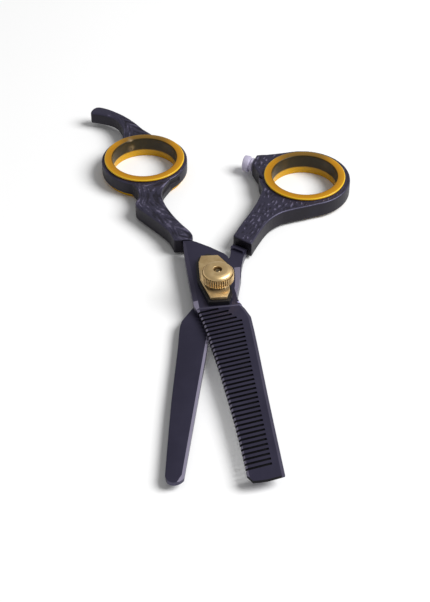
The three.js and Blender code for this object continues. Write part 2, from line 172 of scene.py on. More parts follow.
def castMetal():
    look = Finish("cast gunmetal", Metallic=0.55, Specular_IOR_Level=0.5)
    # this attribute carries the relief's tone together with painted shade and painted highlights
    carving = look.own("carving")
    patch = look.noise(6, 4)
    grain = look.noise(0.35, 3)
    level = carving + (patch - 0.5) * 0.16 + (grain - 0.5) * 0.10
    stops = [(0.0, castLook["deep"]), (0.55, castLook["middle"]), (0.82, castLook["middle"])]
    look.feed("Base Color", look.ramp(level.held(), *stops, (1.0, castLook["wornAndHighlit"])))
    look.feed("Roughness", 0.50 - carving * 0.14 + (patch - 0.5) * 0.18)
    look.bump(grain, 0.03, 0.6)
    return look.material


# The light colour is bare polished steel with painted highlights on the facets; the near-black one is
# painted shade on the walls of the comb's slots.
bladeLook = {"flat": (0.046, 0.042, 0.076), "cloud": (0.060, 0.055, 0.096), "polishedAndHighlit": (0.50, 0.46, 0.62),
             "slot": (0.007, 0.006, 0.009)}


def bladeSteel():
    look = Finish("gunmetal blade", Metallic=0.75, Specular_IOR_Level=0.5)
    # this attribute marks polished steel facets together with painted highlights
    polish = look.own("polish")
    cloud = look.noise(14, 3)
    lines = look.noise(0.5, 2, stretch=(1, 0.06, 1))
    flat = look.blend(cloud.step(0.35, 0.7), bladeLook["flat"], bladeLook["cloud"])
    # the walls of the comb's slots are painted near-black as shade
    slot = look.own("slot")
    flat = look.blend(slot, flat, bladeLook["slot"])
    look.feed("Base Color", look.blend(polish, flat, bladeLook["polishedAndHighlit"]))
    look.feed("Roughness", 0.36 - polish * 0.16 + slot * 0.35 + (lines - 0.5) * 0.12)
    look.bump(lines, 0.008, 0.5)
    return look.material


# The dark colour is painted shade on the bore wall above the lower flange, the far-rim colour is painted
# shade, the line colour is a painted highlight on the outer top edge, and low is lighter than high as
# painted light; nub is the gate mark's own colour.
amberLook = {"low": (0.68, 0.36, 0.006), "high": (0.54, 0.235, 0.004), "boreShade": (0.034, 0.022, 0.003),
             "line": (0.82, 0.53, 0.03), "back": (0.14, 0.085, 0.018), "nub": (0.34, 0.24, 0.13)}


def amberPlastic():
    look = Finish("amber insert", Transmission_Weight=0.10, IOR=1.46, Coat_Weight=0.08, Coat_Roughness=0.2,
                  Specular_IOR_Level=0.22)
    inner = look.own("shade")
    cloud = look.noise(5, 3)
    # lighter toward the bottom, painted light from the table below
    lit = look.blend(look.own("height"), amberLook["low"], amberLook["high"])
    level = (inner + (cloud - 0.5) * 0.25 * inner).held()
    # a painted highlight along the outer top edge
    lit = look.blend(look.own("line"), lit, amberLook["line"])
    # the far side of the top rim is painted darker as shade
    lit = look.blend(look.own("back"), lit, amberLook["back"])
    # painted shade on the bore wall
    shaded = look.blend(level, lit, amberLook["boreShade"])
    look.feed("Base Color", look.blend(look.own("nub"), shaded, amberLook["nub"]))
    look.feed("Roughness", 0.24 + inner * 0.16 + (cloud - 0.5) * 0.12)
    look.bump(look.noise(1.6, 2), 0.012, 0.5)
    return look.material


def clearSilicone():
    look = Finish("clear silicone", Transmission_Weight=0.25, IOR=1.41)
    cloud = look.noise(3.5, 2)
    look.feed("Base Color", look.ramp(cloud, (0.3, (0.54, 0.50, 0.66)), (0.7, (0.62, 0.58, 0.74))))
    look.feed("Roughness", 0.32 + (cloud - 0.5) * 0.1)
    look.bump(cloud, 0.01, 0.2)
    return look.material


# The dark colour is painted shade between the knurl ridges and in the knob's recess.
brassLook = {"face": (0.68, 0.47, 0.22), "bright": (0.86, 0.65, 0.35), "groove": (0.045, 0.022, 0.005),
             "pitch": 0.22}
steelPitch = 0.18


def goldBrass(name, rings):
    look = Finish(name, Metallic=0.92)
    cloud = look.noise(2.5, 4)
    x, y = look.axes(look.place())[:2]
    across = (x * x + y * y).root()
    brushed = (across * (2 * math.pi / (brassLook["pitch"] * mm))).sine() * 0.5 + 0.5
    lines = brushed if rings else look.noise(0.25, 2, stretch=(0.08, 1, 1))
    face = look.blend(cloud.step(0.3, 0.75), brassLook["face"], brassLook["bright"])
    # painted shade in the knurl and the recess
    look.feed("Base Color", look.blend(look.own("groove"), face, brassLook["groove"]))
    look.feed("Roughness", 0.44 + (cloud - 0.5) * 0.14 + (lines - 0.5) * 0.06)
    look.bump(lines, 0.006, 0.35)
    return look.material


def mouldedBlack():
    look = Finish("moulded black", Specular_IOR_Level=0.45)
    grain = look.noise(0.3, 3)
    stain = look.noise(4, 3)
    look.feed("Base Color", look.ramp(stain, (0.3, (0.003, 0.003, 0.004)), (0.7, (0.008, 0.007, 0.010))))
    look.feed("Roughness", 0.42 + (grain - 0.5) * 0.2)
    look.bump(grain, 0.02, 0.4)
    return look.material


def turnedSteel(name, dull, bright):
    look = Finish(name, Metallic=1.0)
    x, y = look.axes(look.place())[:2]
    across = (x * x + y * y).root()
    rings = (across * (2 * math.pi / (steelPitch * mm))).sine() * 0.5 + 0.5
    cloud = look.noise(2, 3)
    look.feed("Base Color", look.ramp(cloud, (0.3, dull), (0.7, bright)))
    look.feed("Roughness", 0.28 + (cloud - 0.5) * 0.15)
    look.bump(rings, 0.006, 0.5)
    return look.material


def acetal():
    look = Finish("natural acetal")
    cloud = look.noise(1.5, 3)
    look.feed("Base Color", look.ramp(cloud, (0.3, (0.66, 0.64, 0.58)), (0.7, (0.76, 0.74, 0.69))))
    look.feed("Roughness", 0.45 + (cloud - 0.5) * 0.15)
    look.bump(cloud, 0.02, 0.3)
    return look.material


cast = castMetal()
steel = bladeSteel()
amber = amberPlastic()
silicone = clearSilicone()
knobBrass = goldBrass("turned brass", True)
plateBrass = goldBrass("brushed brass", False)
black = mouldedBlack()
turnedMetal = turnedSteel("turned steel", (0.42, 0.42, 0.44), (0.60, 0.60, 0.62))
studMetal = turnedSteel("bronzed stud", (0.24, 0.18, 0.10), (0.36, 0.28, 0.17))
bushPlastic = acetal()
print("finishes made")


# Mesh helpers. All points are in millimetres until they become a mesh.

def makePiece(name, points, faces, material, bend=35):
    mesh = bpy.data.meshes.new(name)
    mesh.from_pydata((np.asarray(points) * mm).tolist(), [], [list(map(int, f)) for f in faces])
    mesh.materials.append(material)
    piece = bpy.data.objects.new(name, mesh)
    bpy.context.scene.collection.objects.link(piece)
    shade(mesh, bend)
    return piece


def shade(mesh, bend):
    mesh.polygons.foreach_set("use_smooth", [True] * len(mesh.polygons))
    mesh.set_sharp_from_angle(angle=math.radians(bend))
    mesh.update()


def finishPiece(piece, body, slot, *nodes):
    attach(piece, body)
    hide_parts(*nodes)
    print("made", piece.name, len(piece.data.polygons))


def setValues(mesh, name, values, domain="POINT"):
    attribute = mesh.attributes.new(name, "FLOAT", domain)
    attribute.data.foreach_set("value", np.asarray(values, np.float32))


def footprint(node, facing, keep):
    # the edge loops of a node's flat faces that look up (1) or down (-1)
    work = bmesh.new()
    work.from_mesh(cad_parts[node].data)
    bmesh.ops.remove_doubles(work, verts=work.verts, dist=0.002 * mm)
    chosen = set()
    for face in work.faces:
        if face.normal.z * facing > 0.9 and keep(face.calc_center_median() / mm):
            chosen.add(face.index)
    following = {}
    for face in work.faces:
        if face.index not in chosen:
            continue
        for loop in face.loops:
            others = [f for f in loop.edge.link_faces if f != face]
            if not any(f.index in chosen for f in others):
                following.setdefault(loop.vert.index, loop.link_loop_next.vert.index)
    work.verts.ensure_lookup_table()
    loops = []
    while following:
        start, nextOne = following.popitem()
        loop = [start]
        while nextOne != start and nextOne in following:
            loop.append(nextOne)
            nextOne = following.pop(nextOne)
        loops.append(np.array([work.verts[i].co[:2] for i in loop]) / mm)
    work.free()
    return [loop for loop in loops if len(loop) > 2]


def turnPoints(points, degrees):
    a = math.radians(degrees)
    points = np.asarray(points, float)
    x = points[:, 0] * math.cos(a) - points[:, 1] * math.sin(a)
    y = points[:, 0] * math.sin(a) + points[:, 1] * math.cos(a)
    return np.column_stack([x, y, *points[:, 2:].T])


def isInside(points, loops):
    inside = np.zeros(len(points), bool)
    for loop in loops:
        for a, b in zip(loop, np.roll(loop, -1, axis=0)):
            if a[1] == b[1]:
                continue
            crosses = (a[1] > points[:, 1]) != (b[1] > points[:, 1])
            reach = a[0] + (points[:, 1] - a[1]) * (b[0] - a[0]) / (b[1] - a[1])
            inside ^= crosses & (points[:, 0] < reach)
    return inside


def plate(loops, creases, topAt, bottomAt):
    # a plate of that outline, with its two faces at given heights and an edge along each crease
    points = []
    edges = []
    for line, closed in [(loop, True) for loop in loops] + [(crease, False) for crease in creases]:
        first = len(points)
        points += [Vector((x, y)) for x, y in line]
        steps = len(line) if closed else len(line) - 1
        edges += [(first + i, first + (i + 1) % len(line)) for i in range(steps)]
    found = delaunay_2d_cdt(points, edges, [], 0, 1e-5)
    flat = np.array([(v.x, v.y) for v in found[0]])
    triangles = np.array(found[2])
    triangles = triangles[isInside(flat[triangles].mean(axis=1), loops)]
    a, b, c = (flat[triangles[:, i]] for i in range(3))
    turned = (b[:, 0] - a[:, 0]) * (c[:, 1] - a[:, 1]) - (b[:, 1] - a[:, 1]) * (c[:, 0] - a[:, 0])
    triangles[turned < 0] = triangles[turned < 0][:, ::-1]
    sides = {(t[i], t[(i + 1) % 3]) for t in triangles.tolist() for i in range(3)}
    rim = sorted(side for side in sides if side[::-1] not in sides)
    used = np.unique(triangles)
    places = {int(v): i for i, v in enumerate(used)}
    flat = flat[used]
    count = len(flat)
    top = [[places[v] for v in t] for t in triangles.tolist()]
    bottom = [[places[v] + count for v in reversed(t)] for t in triangles.tolist()]
    walls = [[places[p] + count, places[q] + count, places[q], places[p]] for p, q in rim]
    upper = np.column_stack([flat, topAt(flat[:, 0], flat[:, 1])])
    lower = np.column_stack([flat, bottomAt(flat[:, 0], flat[:, 1])])
    return np.vstack([upper, lower]), top + bottom + walls, len(top)


def rounded(profile, radius, steps=4):
    # a closed profile with its corners filleted
    out = []
    count = len(profile)
    for i, corner in enumerate(profile):
        here = np.array(corner, float)
        back = np.array(profile[i - 1], float) - here
        ahead = np.array(profile[(i + 1) % count], float) - here
        cut = min(radius, np.linalg.norm(back) * 0.45, np.linalg.norm(ahead) * 0.45)
        start = here + back / np.linalg.norm(back) * cut
        end = here + ahead / np.linalg.norm(ahead) * cut
        for step in range(steps + 1):
            t = step / steps
            out.append((1 - t) ** 2 * start + 2 * t * (1 - t) * here + t ** 2 * end)
    return np.array(out)


def revolve(profile, sides, centre=(0, 0)):
    # a closed profile of (radius, height) turned about an upright axis
    angles = np.arange(sides) * 2 * math.pi / sides
    rings = [np.column_stack([centre[0] + profile[:, 0] * math.cos(a),
                              centre[1] + profile[:, 0] * math.sin(a), profile[:, 1]]) for a in angles]
    count = len(profile)
    faces = []
    for i in range(sides):
        j = (i + 1) % sides
        for k in range(count):
            m = (k + 1) % count
            faces.append([i * count + k, i * count + m, j * count + m, j * count + k])
    return np.vstack(rings), faces


def faceOut(mesh):
    work = bmesh.new()
    work.from_mesh(mesh)
    bmesh.ops.remove_doubles(work, verts=work.verts, dist=0.0005 * mm)
    bmesh.ops.recalc_face_normals(work, faces=work.faces)
    work.to_mesh(mesh)
    work.free()


# Cast handles.

def softCopy(node, name, voxel, passes):
    # the node's solid with a fine even skin and its edges rounded off
    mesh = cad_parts[node].data.copy()
    rough = bpy.data.objects.new(name + ".start", mesh)
    bpy.context.scene.collection.objects.link(rough)
    work = bmesh.new()
    work.from_mesh(mesh)
    bmesh.ops.remove_doubles(work, verts=work.verts, dist=0.002 * mm)
    work.to_mesh(mesh)
    work.free()
    remesh = rough.modifiers.new("skin", "REMESH")
    remesh.mode = "VOXEL"
    remesh.voxel_size = voxel * mm
    graph = bpy.context.evaluated_depsgraph_get()
    skin = bpy.data.meshes.new_from_object(rough.evaluated_get(graph))
    bpy.data.objects.remove(rough)
    points = np.empty(len(skin.vertices) * 3)
    skin.vertices.foreach_get("co", points)
    points = points.reshape(-1, 3) / mm
    pairs = np.empty(len(skin.edges) * 2, int)
    skin.edges.foreach_get("vertices", pairs)
    a, b = pairs.reshape(-1, 2).T
    links = np.bincount(a, minlength=len(points)) + np.bincount(b, minlength=len(points))
    for _ in range(passes):
        near = np.empty_like(points)
        for axis in range(3):
            near[:, axis] = np.bincount(a, points[b, axis], len(points))
            near[:, axis] += np.bincount(b, points[a, axis], len(points))
        points += 0.5 * (near / links[:, None] - points)
    skin.vertices.foreach_set("co", (points * mm).ravel())
    skin.update()
    return skin, points


def edgeDistance(node, points):
    # how far each point is from the outline of the node's top face
    top = boxOf(node)[1][2]
    loops = footprint(node, 1, lambda c: c.z > top - 0.01)
    line = []
    for loop in loops:
        for p, q in zip(loop, np.roll(loop, -1, axis=0)):
            steps = max(1, int(np.linalg.norm(q - p) / castRules["outlineStep"]))
            line += [p + (q - p) * i / steps for i in range(steps)]
    tree = KDTree(len(line))
    for i, p in enumerate(line):
        tree.insert((*p, 0), i)
    tree.balance()
    return np.array([tree.find((x, y, 0))[2] for x, y in points[:, :2]])


def noiseAt(x, y, size, seed):
    return np.array([noise.noise((p / size, q / size, seed)) for p, q in zip(x, y)])


def smoothStep(value, low, high):
    t = np.clip((value - low) / (high - low), 0, 1)
    return t * t * (3 - 2 * t)


def lineDistance(points, path):
    best = np.full(len(points), 1e9)
    for a, b in zip(np.array(path[:-1], float), np.array(path[1:], float)):
        t = np.clip(((points[:, :2] - a) @ (b - a)) / ((b - a) @ (b - a)), 0, 1)
        best = np.minimum(best, np.linalg.norm(points[:, :2] - (a + t[:, None] * (b - a)), axis=1))
    return best


castRules = {"faceDeep": 1.2, "insertGap": 0.2, "insertFade": 0.7, "restFade": 4, "plain": 0.45,
             "plainEdge": 0.30, "wallDrop": 0.3, "rimDeep": 1.0, "rimWide": 0.7,
             "slotTop": (0.9, 1.4), "slotEnd": (2.5, 3.0), "slotReach": (1.5, 2.1), "outlineStep": 0.15}
# In both handle tables, wall is the level of painted shade on the side walls, rim the level of painted
# highlight on the rounded rim, and lip the offset of the strip painted as a highlight.
fingerHandle = {"voxel": 0.23, "roundingPasses": 7, "strokeLong": 3.4, "strokeWide": 0.50, "drift": 0.80,
                "depth": 0.24, "border": 0.5, "plainBeyond": 33.0, "wall": 0.10, "rim": 0.86,
                "wallDepth": 0.45, "cut": [(12.1, -9.9), (9.2, -13.2), (7.4, -16.2)], "cutWidth": 0.75,
                "cutDepth": 1.5, "lip": 1.15, "lipWidth": 0.42}
thumbHandle = {"voxel": 0.23, "roundingPasses": 7, "strokeLong": 1.8, "strokeWide": 0.66, "depth": 0.24,
               "border": 0.9, "lean": 72, "wall": 0.08, "rim": 0.80, "wallDepth": 0,
               "cut": [(-17.6, 5.4), (-14.2, -0.6)], "cutWidth": 0.5, "cutDepth": 0.8,
               "lip": 0.85, "lipWidth": 0.25}


def barkRelief(size, x, y, edge):
    # long cut strokes that run with the outline and drift across it
    along = y / size["strokeLong"]
    across = edge / size["strokeWide"] + size["drift"] * x
    raised = np.array([noise.noise((p, q, 3.7)) for p, q in zip(along, across)])
    return np.clip(0.22 + smoothStep(raised, -0.34, 0.06) * 0.58 + 0.12 * smoothStep(raised, 0.24, 0.5)
                   + 0.16 * noiseAt(x, y, 0.9, 8.2), 0, 1)


def fleckRelief(size, x, y, edge):
    # short raised flecks that all lean the same way
    lean = math.radians(size["lean"])
    along = x * math.cos(lean) + y * math.sin(lean)
    across = y * math.cos(lean) - x * math.sin(lean)
    pairs = zip(along / size["strokeLong"], across / size["strokeWide"])
    raised = np.array([noise.noise((p, q, 5.1)) for p, q in pairs])
    return np.clip(0.60 - 0.34 * smoothStep(-raised, 0.12, 0.42) + 0.50 * smoothStep(raised, 0.24, 0.38)
                   + 0.14 * noiseAt(x, y, 0.7, 2.2), 0, 1)


def lipAndCut(size, points, path, face):
    # a cut in the top face and the lip that stands beside it; the handle paints the cut dark as shade and
    # the lip light as a highlight
    cut = (1 - smoothStep(lineDistance(points, path), size["cutWidth"] * 0.5, size["cutWidth"])) * face
    run = path[-1] - path[0]
    lipPath = path + np.array([run[1], -run[0]]) / np.linalg.norm(run) * size["lip"]
    beside = lineDistance(points, lipPath) / size["lipWidth"]
    return (1 - smoothStep(beside, 0.6, 1.3)) * face, cut


def castHandle(name, node, body, size, ringNode, relief):
    rules = castRules
    skin, points = softCopy(node, name, size["voxel"], size["roundingPasses"])
    normals = np.empty(len(points) * 3)
    skin.vertices.foreach_get("normal", normals)
    normals = normals.reshape(-1, 3)
    up = normals[:, 2]
    low, high = boxOf(ringNode)
    ring = ((low + high) / 2)[:2]
    reach = np.linalg.norm(points[:, :2] - ring, axis=1)
    flange = (high - low)[0] / 2
    top = boxOf(node)[1][2]
    below = top - points[:, 2]
    edge = edgeDistance(node, points)
    face = smoothStep(up, 0.35, 0.8) * (below < rules["faceDeep"])

    # where the relief shows: off the border, the insert's flange and the end of the rest
    shown = face * smoothStep(edge, size["border"] * 0.4, size["border"])
    shown *= smoothStep(reach, flange - rules["insertGap"], flange + rules["insertFade"])
    if "plainBeyond" in size:
        fadeStart = size["plainBeyond"] - rules["restFade"]
        away = (reach > fadeStart) & (points[:, 1] > ring[1])
        shown *= np.where(away, 1 - smoothStep(reach, fadeStart, size["plainBeyond"]), 1)
    height = np.ones(len(points))
    live = shown > 0.001
    height[live] = relief(size, points[live, 0], points[live, 1], edge[live])

    # how light the metal is, from 0 in a cut to 1 on an edge: the relief's raised strokes lighter than its
    # low ones, painted shade on the walls, in the cut and in the wall slot, and painted highlights on the
    # rounded rim and the lip
    plainLevel = rules["plain"]
    # the side walls are painted near-black as shade
    side = (1 - smoothStep(up, 0.1, 0.45)) * (below > rules["wallDrop"])
    carving = plainLevel + (size["wall"] - plainLevel) * side
    carving += rules["plainEdge"] * (1 - shown) * face + (height - plainLevel) * shown
    # painted highlight along the rounded rim of the top face
    rimHighlight = smoothStep(up, 0.25, 0.5) * (1 - smoothStep(up, 0.7, 0.93)) * (below < rules["rimDeep"])
    carving = np.maximum(carving, size["rim"] * rimHighlight * (edge < rules["rimWide"]) * (reach > flange))
    path = np.array(size["cut"]) + ring
    lip, cut = lipAndCut(size, points, path, face)
    drop = (1 - height) * size["depth"] * shown * (1 - lip) + cut * size["cutDepth"]
    # the lip is painted light as a highlight and the cut painted dark as shade
    carving = np.clip(np.maximum(carving, lip) * (1 - cut), 0, 1)
    slotBand = smoothStep(below, *rules["slotTop"]) * (1 - smoothStep(below, *rules["slotEnd"]))
    slotBand *= size["wallDepth"] > 0
    wallSlot = slotBand * side * (1 - smoothStep(lineDistance(points, path), *rules["slotReach"]))
    # the wall slot is painted dark as shade
    carving *= 1 - wallSlot
    points[:, :2] -= normals[:, :2] * (wallSlot * size["wallDepth"])[:, None]
    points[:, 2] -= drop

    skin.vertices.foreach_set("co", (points * mm).ravel())
    skin.materials.clear()
    skin.materials.append(cast)
    skin.name = name
    setValues(skin, "carving", carving)
    shade(skin, 70)
    piece = bpy.data.objects.new(name, skin)
    bpy.context.scene.collection.objects.link(piece)
    finishPiece(piece, body, "handle_metal", node)


castHandle("fingerHandle", "finger_handle", "finger_half", fingerHandle, "finger_ring_insert", barkRelief)
castHandle("thumbHandle", "thumb_handle", "thumb_half", thumbHandle, "thumb_ring_insert", fleckRelief)


# Blades. Each is drawn straight down its own half, then turned to stand open.

tang = {"thick": 1.5, "start": 20}
toothed = {"turn": 8.6, "grindStart": -8.2, "step": 0.3, "stepWidth": 0.25, "tipThickness": 1.25,
           "tipFacet": 0.55, "tipDrop": 0.35, "spineFacet": 0.9, "spineDrop": 0.35,
           "neckFacet": 1.4, "neckDrop": 0.30, "shoulderDrop": 0.45,
           "shoulder": [(5.9, -7.0), (6.0, -1.0), (6.5, 0.2), (7.7, 4.8), (8.3, 8.5)],
           # how light each facet is painted, as bare polished steel with painted highlights
           "shoulderFacet": (0.6, 1.9), "tipPolishAndHighlight": 0.46, "spinePolishAndHighlight": 0.10, "neckPolishAndHighlight": 0.05,
           "stepPolishAndHighlight": 0.12, "shoulderPolishAndHighlight": 0.62,
           "cornerEnd": -4.9, "cornerPolishAndHighlight": 0.70, "across": (-9, 8), "neckLeft": -8.1, "neckEnd": 22,
           "spineStart": -7, "tipsLeftOf": -2.9, "spineRightOf": 5.6, "slotMargin": (0.15, 0.6)}


def stretchOf(loop, keep):
    # the kept points of an outline as a run of X against Y
    chosen = loop[[bool(keep(x, y)) for x, y in loop]]
    chosen = chosen[np.argsort(chosen[:, 1])]
    return lambda y: np.interp(y, chosen[:, 1], chosen[:, 0])


def bladeMesh(name, parts, material, polishedAndHighlit, degrees, inSlot=None):
    # joins plates into one mesh and marks the polished faces, which carry painted highlights, and the walls
    # of the slots, which are painted dark as shade
    points = []
    faces = []
    marks = []
    slotShade = []
    for part, facePoints, topCount in parts:
        first = sum(len(p) for p in points)
        centres = np.array([part[f].mean(axis=0) for f in facePoints])
        upper = np.arange(len(facePoints)) < topCount
        marks += list(polishedAndHighlit(centres[:, 0], centres[:, 1], upper))
        wall = np.arange(len(facePoints)) >= 2 * topCount
        slotShade += list(wall * (inSlot(centres[:, 0], centres[:, 1]) if inSlot else 0.0))
        faces += [[v + first for v in f] for f in facePoints]
        points.append(part)
    piece = makePiece(name, turnPoints(np.vstack(points), degrees), faces, material, 20)
    setValues(piece.data, "polish", marks, "FACE")
    setValues(piece.data, "slot", slotShade, "FACE")
    return piece


def flatAt(height):
    return lambda x, y: np.full(len(x), height)


def tangPlates(node, degrees, bottom, top):
    # the tongue that runs into the handle, from its own faces, halfway up the blade
    high = (top + bottom + tang["thick"]) / 2
    loops = footprint(node, -1, lambda c: c.y > tang["start"] and c.z > bottom + 0.1)
    low = high - tang["thick"]
    return [plate([turnPoints(loop, -degrees)], [], flatAt(high), flatAt(low)) for loop in loops]


def toothedBlade():
    low, high = boxOf("toothed_blade")
    bottom, top = low[2], high[2]
    loops = footprint("toothed_blade", -1, lambda c: c.z < bottom + 0.01)
    loops = [turnPoints(loop, -toothed["turn"]) for loop in loops]
    outer = max(loops, key=lambda loop: np.ptp(loop[:, 1]))
    end = outer[:, 1].min()
    start, neckEnd, spineStart = toothed["grindStart"], toothed["neckEnd"], toothed["spineStart"]
    stepEnd = start - toothed["stepWidth"]
    neckEdge = toothed["neckLeft"] + toothed["neckFacet"]
    tips = stretchOf(outer, lambda x, y: x < toothed["tipsLeftOf"] and y < start)
    spine = stretchOf(outer, lambda x, y: x > toothed["spineRightOf"] and y < spineStart)
    fall = (top - bottom - toothed["tipThickness"]) / (end - start)
    shoulderX, shoulderY = np.array(toothed["shoulder"]).T
    lowest, highest = shoulderY[0], shoulderY[-1]

    def fromShoulder(x, y):
        # 0 on the right-hand edge of the neck, 1 where its facet ends
        wide = np.interp(y, [lowest, highest], toothed["shoulderFacet"])
        inStretch = (y >= lowest) & (y <= highest)
        return np.where(inStretch, (np.interp(y, shoulderY, shoulderX) - x) / wide, 1.0)

    def topAt(x, y):
        z = top + np.where(y < start, fall * (start - y), 0)
        z = z - toothed["step"] * smoothStep(start - y, 0.0, toothed["stepWidth"])
        comb = y < stepEnd
        tip = np.clip(1 - (x - tips(y)) / toothed["tipFacet"], 0, 1) * comb
        back = np.clip(1 - (spine(y) - x) / toothed["spineFacet"], 0, 1) * (y < spineStart)
        neck = np.clip((neckEdge - x) / toothed["neckFacet"], 0, 1) * ~comb * (y < neckEnd)
        z = z - np.clip(1 - fromShoulder(x, y), 0, 1) * toothed["shoulderDrop"]
        return z - tip * toothed["tipDrop"] - back * toothed["spineDrop"] - neck * toothed["neckDrop"]

    rows = np.linspace(start - 0.4, end + 1.5, 40)
    backRows = np.linspace(spineStart - 0.2, end + 0.1, 40)
    left, right = toothed["across"]
    sideRows = np.linspace(lowest + 0.01, highest - 0.01, 24)
    sideWide = np.interp(sideRows, [lowest, highest], toothed["shoulderFacet"])
    creases = [
        np.column_stack([np.interp(sideRows, shoulderY, shoulderX) - sideWide, sideRows]),
        np.column_stack([tips(rows) + toothed["tipFacet"], rows]),
        np.column_stack([spine(backRows) - toothed["spineFacet"], backRows]),
        [(left, start), (right, start)],
        [(left, stepEnd), (right, stepEnd)],
        [(neckEdge, start), (neckEdge, neckEnd)],
        [(left, toothed["cornerEnd"]), (neckEdge, toothed["cornerEnd"])],
    ]
    body = plate(loops, creases, topAt, flatAt(bottom))

    # the facets painted light as polish with painted highlights
    def polishedAndHighlit(x, y, upper):
        comb = y < stepEnd
        tip = (x - tips(y) < toothed["tipFacet"]) & comb
        back = (spine(y) - x < toothed["spineFacet"]) & (y < spineStart)
        neck = (x < neckEdge) & ~comb & (y < neckEnd)
        step = (y < start) & (y > stepEnd)
        shoulder = fromShoulder(x, y) < 1
        levels = [shoulder * toothed["shoulderPolishAndHighlight"],
                  tip * toothed["tipPolishAndHighlight"], back * toothed["spinePolishAndHighlight"],
                  neck * toothed["neckPolishAndHighlight"], step * toothed["stepPolishAndHighlight"],
                  (neck & (y < toothed["cornerEnd"])) * toothed["cornerPolishAndHighlight"]]
        return np.where(upper, np.maximum.reduce(levels), 0.0)

    # the slot walls that get painted shade
    def inSlot(x, y):
        fromTips, fromSpine = toothed["slotMargin"]
        return ((y < start) & (x > tips(y) + fromTips) & (x < spine(y) - fromSpine)).astype(float)

    parts = [body] + tangPlates("toothed_blade", toothed["turn"], bottom, top)
    piece = bladeMesh("toothedBlade", parts, steel, polishedAndHighlit, toothed["turn"], inSlot)
    finishPiece(piece, "finger_half", "blade_steel", "toothed_blade")


plain = {"turn": -6.7, "grindStart": -8.2, "thickness": 2.45, "tipThickness": 1.25, "edgeFacet": 0.75,
         "edgeDrop": 0.12, "backFacet": 0.6, "backDrop": 0.2, "facetStart": -13.9, "polishAndHighlightStart": -13,
         "polish": 0.95, "sidesStart": -12, "edgeRightOf": -1.3, "backLeftOf": -4.9, "across": (-9, 8),
         "ribSink": 0.2}


def plainBlade():
    low, high = boxOf("plain_blade")
    bottom = low[2]
    top = bottom + plain["thickness"]
    loops = footprint("plain_blade", -1, lambda c: c.z < bottom + 0.01 or c.y < 5)
    loops = [turnPoints(loop, -plain["turn"]) for loop in loops]
    loops = [loop for loop in loops if np.ptp(loop[:, 1]) > 1]
    outer = max(loops, key=lambda loop: np.ptp(loop[:, 1]))
    end = outer[:, 1].min()
    edge = stretchOf(outer, lambda x, y: x > plain["edgeRightOf"] and y < plain["sidesStart"])
    back = stretchOf(outer, lambda x, y: x < plain["backLeftOf"] and y < plain["sidesStart"])
    start = plain["grindStart"]
    rise = (top - bottom - plain["tipThickness"]) / (start - end)
    rows = np.linspace(plain["facetStart"] - 0.1, end + 3, 30)
    left, right = plain["across"]
    creases = [
        np.column_stack([edge(rows) - plain["edgeFacet"], rows]),
        np.column_stack([back(rows) + plain["backFacet"], rows]),
        [(left, start), (right, start)],
    ]

    def topAt(x, y):
        cut = np.clip(1 - (edge(y) - x) / plain["edgeFacet"], 0, 1) * (y < plain["facetStart"])
        spine = np.clip(1 - (x - back(y)) / plain["backFacet"], 0, 1) * (y < plain["facetStart"])
        return top - cut * plain["edgeDrop"] - spine * plain["backDrop"]

    body = plate(loops, creases, topAt, lambda x, y: bottom + rise * np.maximum(0, start - y))

    # the cutting bevel painted light as polish with a painted highlight
    def polishedAndHighlit(x, y, upper):
        cut = (edge(y) - x < plain["edgeFacet"]) & (y < plain["polishAndHighlightStart"])
        return np.where(upper, cut * plain["polish"], 0.0)

    parts = [body]
    ribTop = high[2]
    for loop in footprint("plain_blade", 1, lambda c: c.z > ribTop - 0.01):
        loop = turnPoints(loop, -plain["turn"])
        parts.append(plate([loop], [], flatAt(ribTop), flatAt(top - plain["ribSink"])))
    parts += tangPlates("plain_blade", plain["turn"], bottom, top)
    piece = bladeMesh("plainBlade", parts, steel, polishedAndHighlit, plain["turn"])
    finishPiece(piece, "thumb_half", "blade_steel", "plain_blade")


toothedBlade()
plainBlade()


# Ring inserts.

insert = {"sides": 180, "boreRows": 24, "bore": 10.8, "wall": 12.1, "lowerFlange": 2.5, "flange": 0.8,
          "rounding": 0.35, "nubAngle": 118, "nubHeight": 4.1, "nubRadius": 0.75, "nubPush": 0.7,
          "nubGlow": 0.9, "seamWidth": 0.35, "seamPush": 0.2, "seamStart": 3, "seamGlow": 0.7,
          "farSideShade": 0.8}


